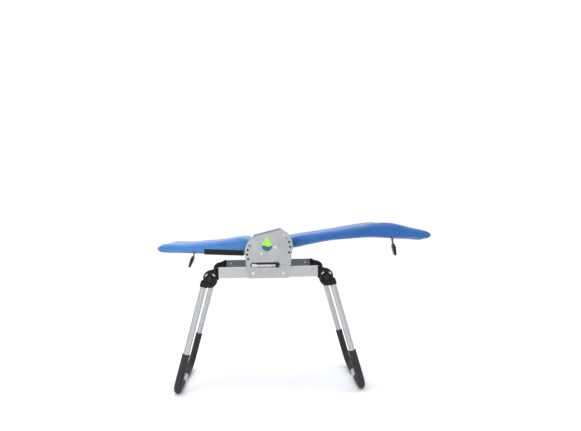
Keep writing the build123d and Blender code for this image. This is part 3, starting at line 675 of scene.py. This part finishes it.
def loftPiece(name, rings):
    # a closed skin over cross-sections that all have the same number of points
    count = len(rings[0])
    corners = [point for ring in rings for point in ring]
    faces = []
    for i in range(len(rings) - 1):
        for j in range(count):
            k = (j + 1) % count
            faces.append((i * count + j, i * count + k, (i + 1) * count + k, (i + 1) * count + j))
    faces.append(tuple(range(count))[::-1])
    faces.append(tuple((len(rings) - 1) * count + j for j in range(count)))
    piece = meshPiece(name, corners, faces)
    chooseOnly(piece)
    bpy.ops.object.mode_set(mode="EDIT")
    bpy.ops.mesh.select_all(action="SELECT")
    bpy.ops.mesh.normals_make_consistent(inside=False)
    bpy.ops.object.mode_set(mode="OBJECT")
    return piece


def cornerCut(distance, radius):
    # how much a round corner takes off the half width, this far from the end
    if distance >= radius:
        return 0
    return radius - math.sqrt(radius ** 2 - (radius - distance) ** 2)


def padMesh(name):
    s = padSettings[name]
    shape = padShape
    low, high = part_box(s["node"])
    noseAtLow = s["noseEnd"] == "low"
    places = []
    tops = []
    bottoms = []
    for x in padStations(low.x + s["endInset"], high.x - s["endInset"], shape["stations"]):
        heights = padHeights(s["node"], x)
        if heights:
            places.append(x)
            tops.append(heights[0] - s["deflate"])
            bottoms.append(heights[1] + s["deflate"])
    tops = smoothed(tops, shape["smoothing"])
    bottoms = smoothed(bottoms, shape["smoothing"])
    rings = []
    for x, top, bottom in zip(places, tops, bottoms):
        fromNose = x - low.x if noseAtLow else high.x - x
        fromHip = high.x - x if noseAtLow else x - low.x
        width = high.y - s["deflate"]
        width -= cornerCut(fromNose, s["noseCorner"])
        width -= cornerCut(fromHip, s["noseCorner"] / shape["hipSharper"])
        if top - bottom < shape["thinnest"]:
            middle = (top + bottom) / 2
            top, bottom = middle + shape["thinnest"] / 2, middle - shape["thinnest"] / 2
        fade = smoothStep(0.0, shape["noseFade"], fromNose)
        fade *= smoothStep(0.0, shape["hipFade"], fromHip)
        reach = s["noseReach"] * (1 - smoothStep(0.0, shape["noseBlend"], fromNose))
        place = x - reach if noseAtLow else x + reach
        loop = roundedLoop(width, bottom, top, s["edgeRadius"], s["dish"] * fade)
        rings.append([(place, y, z) for y, z in loop])
    return loftPiece(name, rings)


def blowUp(piece, s):
    # cloth with a little pressure inside; no point moves further than the cap
    c = clothSettings
    start = [v.co.copy() for v in piece.data.vertices]
    cloth = piece.modifiers.new("stuffing", "CLOTH")
    cloth.settings.quality = c["quality"]
    cloth.settings.mass = c["mass"]
    cloth.settings.tension_stiffness = c["stretchStiffness"]
    cloth.settings.compression_stiffness = c["stretchStiffness"]
    cloth.settings.shear_stiffness = c["shearStiffness"]
    cloth.settings.bending_stiffness = c["bendStiffness"]
    cloth.settings.use_pressure = True
    cloth.settings.uniform_pressure_force = s["pressure"]
    cloth.settings.effector_weights.gravity = 0
    cloth.point_cache.frame_start = 1
    cloth.point_cache.frame_end = c["frames"]
    for step in range(1, c["frames"] + 1):
        bpy.context.scene.frame_set(step)
    bpy.ops.object.modifier_apply(modifier=cloth.name)
    bpy.context.scene.frame_set(1)
    for vertex, was in zip(piece.data.vertices, start):
        move = vertex.co - was
        if move.length > s["cap"]:
            vertex.co = was + move.normalized() * s["cap"]


def stuffPiece(piece, s):
    # the cover is blown up a little from inside, so that it rounds and creases like cloth
    chooseOnly(piece)
    piece.data.remesh_voxel_size = s["voxel"]
    bpy.ops.object.voxel_remesh()
    blowUp(piece, s)
    smooth = piece.modifiers.new("settle", "SMOOTH")
    smooth.factor = clothSettings["settleFactor"]
    smooth.iterations = clothSettings["settleRounds"]
    finer = piece.modifiers.new("finer", "SUBSURF")
    finer.levels = 1
    finer.render_levels = 1
    applyModifiers(piece)


def makePad(name):
    s = padSettings[name]
    piece = padMesh(name)
    stuffPiece(piece, s)
    give(piece, clothMaterials[s["body"]])
    smoothSides(piece, 180)
    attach(piece, s["body"])
    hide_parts(s["node"])
    print(name, "is sewn and stuffed:", len(piece.data.polygons), "faces")
    return piece


seatCover = makePad("seatCover")
backrestCover = makePad("backrestCover")


# ---- piping sewn round the upper edge of both covers ----

piping = {
    "radius": 0.0013,
    "sides": 8,
    "share": 0.76,        # height of the seam, as a share of the cover's thickness
    "step": 0.006,
    "sink": 0.0004,
    "hipGap": 0.03,       # from the hip end of the cover to the piping's end
    "endGap": 0.012,      # heights nearer to an end than this are taken from here
    "turns": 14,          # steps round a corner
}


def pipingRoute(name):
    # along one side, round the nose and back along the other side
    s = padSettings[name]
    low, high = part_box(s["node"])
    noseAtLow = s["noseEnd"] == "low"
    nose = low.x if noseAtLow else high.x
    hip = (high.x - piping["hipGap"]) if noseAtLow else (low.x + piping["hipGap"])
    inward = 1 if noseAtLow else -1
    corner = s["noseCorner"]
    bendX = nose + inward * corner
    route = []
    count = int(abs(hip - bendX) / piping["step"])
    for i in range(count):
        route.append((hip + (bendX - hip) * i / count, low.y))
    for i in range(piping["turns"] + 1):
        a = math.pi / 2 * i / piping["turns"]
        route.append((bendX - inward * corner * math.sin(a),
                      low.y + corner - corner * math.cos(a)))
    start = low.y + corner
    across = int((high.y - low.y - 2 * corner) / piping["step"] / 2)
    for i in range(1, across + 1):
        route.append((nose, start - start * i / across))
    return route + [(x, -y) for x, y in reversed(route[:-1])]


def makePiping(name, cover, skin):
    s = padSettings[name]
    low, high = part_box(s["node"])
    points = []
    for x, y in pipingRoute(name):
        inside = min(max(x, low.x + piping["endGap"]), high.x - piping["endGap"])
        top, bottom = padHeights(s["node"], inside)
        z = bottom + (top - bottom) * piping["share"]
        point, normal, _, _ = skin.find_nearest(Vector((x, y, z)))
        points.append((point - normal * piping["sink"], normal))
    rings = []
    for i, (point, normal) in enumerate(points):
        ahead = points[min(i + 1, len(points) - 1)][0] - points[max(i - 1, 0)][0]
        across = ahead.cross(normal).normalized()
        rings.append([
            point + (normal * math.cos(a) + across * math.sin(a)) * piping["radius"]
            for a in (2 * math.pi * j / piping["sides"] for j in range(piping["sides"]))
        ])
    cord = loftPiece(name + "Piping", rings)
    give(cord, pipingMaterial)
    smoothSides(cord, 60)
    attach(cord, s["body"])


makePiping("seatCover", seatCover, skinOf(seatCover))
makePiping("backrestCover", backrestCover, skinOf(backrestCover))
print("piping is sewn on")


# ---- hip cover: two quilted halves, one in the seat's cloth and one in the backrest's ----

hipCover = {
    "reach": 0.0105,      # past the CAD sling, up to the covers of the seat and backrest
    "inset": 0.002,
    "edgeRadius": 0.004,
    "channel": 0.0185,    # width of a quilted channel
    "puff": 0.0016,       # how far a channel swells
    "stations": 28,       # cross-sections of each half
    "endGap": 0.001,      # heights nearer to an end than this are taken from here
    # start and end of the bend, from the joint's axis
    "seatBend": (-0.022, 0.016),
    "backrestBend": (0.030, -0.012),
    "fill": 0.3,
}


def hipRing(x):
    # one cross-section of the hip cover; past the CAD sling it keeps the end's height
    s = hipCover
    low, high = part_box("hip_sling")
    inside = min(max(x, low.x + s["endGap"]), high.x - s["endGap"])
    top, bottom = padHeights("hip_sling", inside)
    swell = s["puff"] * abs(math.sin(math.pi * (x - low.x) / s["channel"]))
    loop = roundedLoop(high.y - s["inset"], bottom, top + swell, s["edgeRadius"], 0)
    return [(x, y, z) for y, z in loop]


def makeHipHalf(name, body, start, end):
    s = hipCover
    count = s["stations"]
    rings = [hipRing(start + (end - start) * i / count) for i in range(count + 1)]
    piece = loftPiece(name, rings)
    give(piece, clothMaterials[body])
    smoothSides(piece, 40)
    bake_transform(piece)
    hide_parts("hip_sling")


def makeHipCover():
    s = hipCover
    low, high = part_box("hip_sling")
    middle = (low.x + high.x) / 2
    makeHipHalf(
        "hipCoverSeatHalf", "seat", low.x - s["reach"], middle
    )
    makeHipHalf(
        "hipCoverBackHalf", "backrest", middle, high.x + s["reach"],
    )
    print("hip cover is quilted")


makeHipCover()


# ---- hook-and-loop bands on both sides of the seat's cover ----

coverBand = {
    "columns": 48, "rows": 10,
    "height": 0.0215,
    "low": -0.002,        # lower edge, from the pad's underside
    "hang": 0.012,        # below this height over the underside it hangs straight down
    "lift": 0.0004,       # off the cover
    "thickness": 0.0014,
}


def makeCoverBand(name, side):
    s = coverBand
    skin = skinOf(seatCover)
    low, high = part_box("seat_cover_flaps")
    corners = []
    for i in range(s["columns"] + 1):
        x = low.x + (high.x - low.x) * i / s["columns"]
        underside = padHeights("seat_pad", x)[1]
        for j in range(s["rows"] + 1):
            z = underside + s["low"] + s["height"] * j / s["rows"]
            held = max(z, underside + s["hang"])
            point, normal, _, _ = skin.find_nearest(Vector((x, side * high.y, held)))
            corner = point + normal * s["lift"]
            corners.append((corner.x, corner.y, min(z, corner.z)))
    wide = s["rows"] + 1
    faces = [
        (i * wide + j, i * wide + j + 1, (i + 1) * wide + j + 1, (i + 1) * wide + j)
        for i in range(s["columns"]) for j in range(s["rows"])
    ]
    if side > 0:
        faces = [face[::-1] for face in faces]
    return meshPiece(name, corners, faces)


def makeCoverBands():
    s = coverBand
    for name, side in (("coverBandLeft", -1), ("coverBandRight", 1)):
        band = makeCoverBand(name, side)
        thick = band.modifiers.new("thickness", "SOLIDIFY")
        thick.thickness = s["thickness"]
        thick.offset = 1
        applyModifiers(band)
        give(band, flapMaterial)
        smoothSides(band, 50)
        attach(band, "seat")
        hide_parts("seat_cover_flaps")
    print("side bands are sewn on")


makeCoverBands()


# ---- straps and the halves of their buckles ----

strapSettings = {
    "width": 0.025, "thickness": 0.0026, "edge": 0.0006, "tuck": 0.006,
    "ends": [
        # strap's node, buckle's node, body, degrees that it leans towards the head end
        ["seat_strap", "seat_buckle", "seat", -20.2],
        ["backrest_strap", "backrest_buckle", "backrest", 9.3],
    ],
}
buckleSettings = {
    "length": 0.046, "width": 0.031, "thickness": 0.0125, "round": 0.0011,
    "mouthRim": 0.0018, "mouthDepth": 0.012,
    # windows in both edges: rim, depth, and their faces' place as shares of length and width
    "windowRim": 0.0022, "windowDepth": 0.004, "windowReach": 0.2, "windowSide": 0.45,
    # share of the length from the strap's end: thickness and width there, as shares
    "shape": [(0.1, 0.78, 1.0), (0.3, 1.0, 1.0), (0.55, 0.88, 1.0), (0.8, 0.7, 0.93)],
    "topShare": (0.5, 0.86),
    "mouthShare": (0.56, 0.84),
}


def clearPicks(*groups):
    bpy.ops.object.mode_set(mode="OBJECT")
    for group in groups:
        for item in group:
            item.select = False


def pickFaces(piece, wanted):
    # picks the faces whose middle and normal pass the test, and is left in edit mode
    clearPicks(piece.data.vertices, piece.data.edges)
    for face in piece.data.polygons:
        face.select = wanted(face.center, face.normal)
    bpy.ops.object.mode_set(mode="EDIT")
    bpy.ops.mesh.select_mode(type="FACE")


def pickCorners(piece, wanted):
    # the same for the corners whose place passes the test
    clearPicks(piece.data.polygons, piece.data.edges)
    for vertex in piece.data.vertices:
        vertex.select = wanted(vertex.co)
    bpy.ops.object.mode_set(mode="EDIT")
    bpy.ops.mesh.select_mode(type="VERT")


def roundEdges(piece, name, width, segments, degrees=30):
    rounding = piece.modifiers.new(name, "BEVEL")
    rounding.width = width
    rounding.segments = segments
    rounding.limit_method = "ANGLE"
    rounding.angle_limit = math.radians(degrees)
    applyModifiers(piece)


def addBlock(name, size, place=(0, 0, 0)):
    chooseOnly(None)
    bpy.ops.mesh.primitive_cube_add(size=1, location=place)
    block = bpy.context.object
    block.name = name
    block.scale = size
    applyPlace(block)
    return block


def standAt(piece, place, lean):
    piece.rotation_euler = (0, math.radians(180 - lean), 0)
    piece.location = place
    applyPlace(piece)


samePlace = 0.0001        # heights that differ by less belong to one ring


def makeBuckle(name, node, body, lean):
    # a slim leaf from the side: thickest near the strap, thin at its mouth
    s = buckleSettings
    length = s["length"]
    buckle = addBlock(name, (s["thickness"], s["width"], length))
    bpy.ops.object.mode_set(mode="EDIT")
    for share, _, _ in s["shape"]:
        bpy.ops.mesh.select_all(action="SELECT")
        bpy.ops.mesh.bisect(
            plane_co=(0, 0, length * (share - 0.5)), plane_no=(0, 0, 1), use_fill=False
        )
    rings = [(0, *s["topShare"])] + s["shape"] + [(1, *s["mouthShare"])]
    for share, thick, wide in rings:
        height = length * (share - 0.5)
        pickCorners(buckle, lambda co: abs(co.z - height) < samePlace)
        bpy.ops.transform.resize(value=(thick, wide, 1), center_override=(0, 0, height))
    pickFaces(buckle, lambda centre, normal: normal.z > 0.9)
    bpy.ops.mesh.inset(thickness=s["mouthRim"])
    bpy.ops.mesh.extrude_region_move(
        TRANSFORM_OT_translate={"value": (0, 0, -s["mouthDepth"])}
    )
    for side in (-1, 1):
        pickFaces(
            buckle,
            lambda centre, normal: normal.y * side > 0.8
            and abs(centre.z) < length * s["windowReach"]
            and abs(centre.y) > s["width"] * s["windowSide"]
        )
        bpy.ops.mesh.inset(thickness=s["windowRim"])
        bpy.ops.mesh.extrude_region_move(
            TRANSFORM_OT_translate={"value": (0, -side * s["windowDepth"], 0)}
        )
    bpy.ops.object.mode_set(mode="OBJECT")
    roundEdges(buckle, "rounding", s["round"], 3, degrees=25)
    low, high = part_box(node)
    standAt(buckle, (low + high) / 2, lean)
    give(buckle, plasticMaterial)
    smoothSides(buckle, 40)
    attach(buckle, body)
    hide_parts(node)


def makeStrap(name, node, body, lean):
    # a tab of webbing, sewn into the cover above and folded through the buckle below
    s = strapSettings
    low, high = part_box(node)
    length = (high.z - low.z) / math.cos(math.radians(lean)) + 2 * s["tuck"]
    strap = addBlock(name, (s["thickness"], s["width"], length))
    bpy.ops.object.mode_set(mode="EDIT")
    bpy.ops.mesh.select_all(action="SELECT")
    bpy.ops.mesh.subdivide(number_cuts=3)
    bpy.ops.object.mode_set(mode="OBJECT")
    roundEdges(strap, "selvedge", s["edge"], 2)
    standAt(strap, (low + high) / 2, lean)
    give(strap, webbingMaterial)
    smoothSides(strap, 40)
    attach(strap, body)
    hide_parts(node)


for strapNode, buckleNode, body, lean in strapSettings["ends"]:
    makeStrap(body + "Strap", strapNode, body, lean)
    makeBuckle(body + "Buckle", buckleNode, body, lean)
print("straps and buckles hang")


# ---- moulded ribs on the outer face of each leg hinge ----

hingeFace = {
    "ringOuter": 0.0180, "ringInner": 0.0158, "ringHeight": 0.0012,
    "ribs": 12, "ribSize": (0.0016, 0.0009, 0.0034), "ribRadius": 0.0142,
    "sides": 64, "round": 0.0003, "sink": 0.0003,
    "bossHeight": 0.003,  # the yoke's widest point is the boss, this far outside the cheek
}


def makeHingeFace(name, centre, side):
    # a raised ring and short ribs round the release button's boss
    s = hingeFace
    chooseOnly(None)
    bpy.ops.mesh.primitive_cylinder_add(
        vertices=s["sides"], radius=s["ringOuter"], depth=s["ringHeight"],
        rotation=(math.pi / 2, 0, 0)
    )
    ring = bpy.context.object
    ring.name = name
    applyPlace(ring)
    bpy.ops.object.mode_set(mode="EDIT")
    pickFaces(ring, lambda middle, normal: abs(normal.y) > 0.9)
    bpy.ops.mesh.inset(thickness=s["ringOuter"] - s["ringInner"], use_individual=True)
    bpy.ops.mesh.bridge_edge_loops()
    bpy.ops.object.mode_set(mode="OBJECT")
    parts = [ring]
    for i in range(s["ribs"]):
        rib = addBlock(f"{name}Rib{i}", s["ribSize"], (0, 0, s["ribRadius"]))
        rib.rotation_euler = (0, 2 * math.pi * i / s["ribs"], 0)
        applyPlace(rib)
        parts.append(rib)
    face = joinPieces(parts, name)
    face.location = centre + Vector((0, side * (s["ringHeight"] / 2 - s["sink"]), 0))
    applyPlace(face)
    roundEdges(face, "rounding", s["round"], 2)
    give(face, nylonMaterial)
    smoothSides(face, 40)
    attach(face, "base")


def makeHingeFaces():
    for end, side in hingeCorners:
        low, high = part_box(f"{end}_{side}_release_button")
        yokeLow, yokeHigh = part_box(f"{end}_{side}_hinge_yoke")
        outward = -1 if side == "left" else 1
        boss = yokeLow.y if side == "left" else yokeHigh.y
        face = boss - outward * hingeFace["bossHeight"]
        centre = Vector(((low.x + high.x) / 2, face, (low.z + high.z) / 2))
        makeHingeFace(f"{end}{side.capitalize()}HingeFace", centre, outward)
    print("hinge faces are ribbed")


makeHingeFaces()
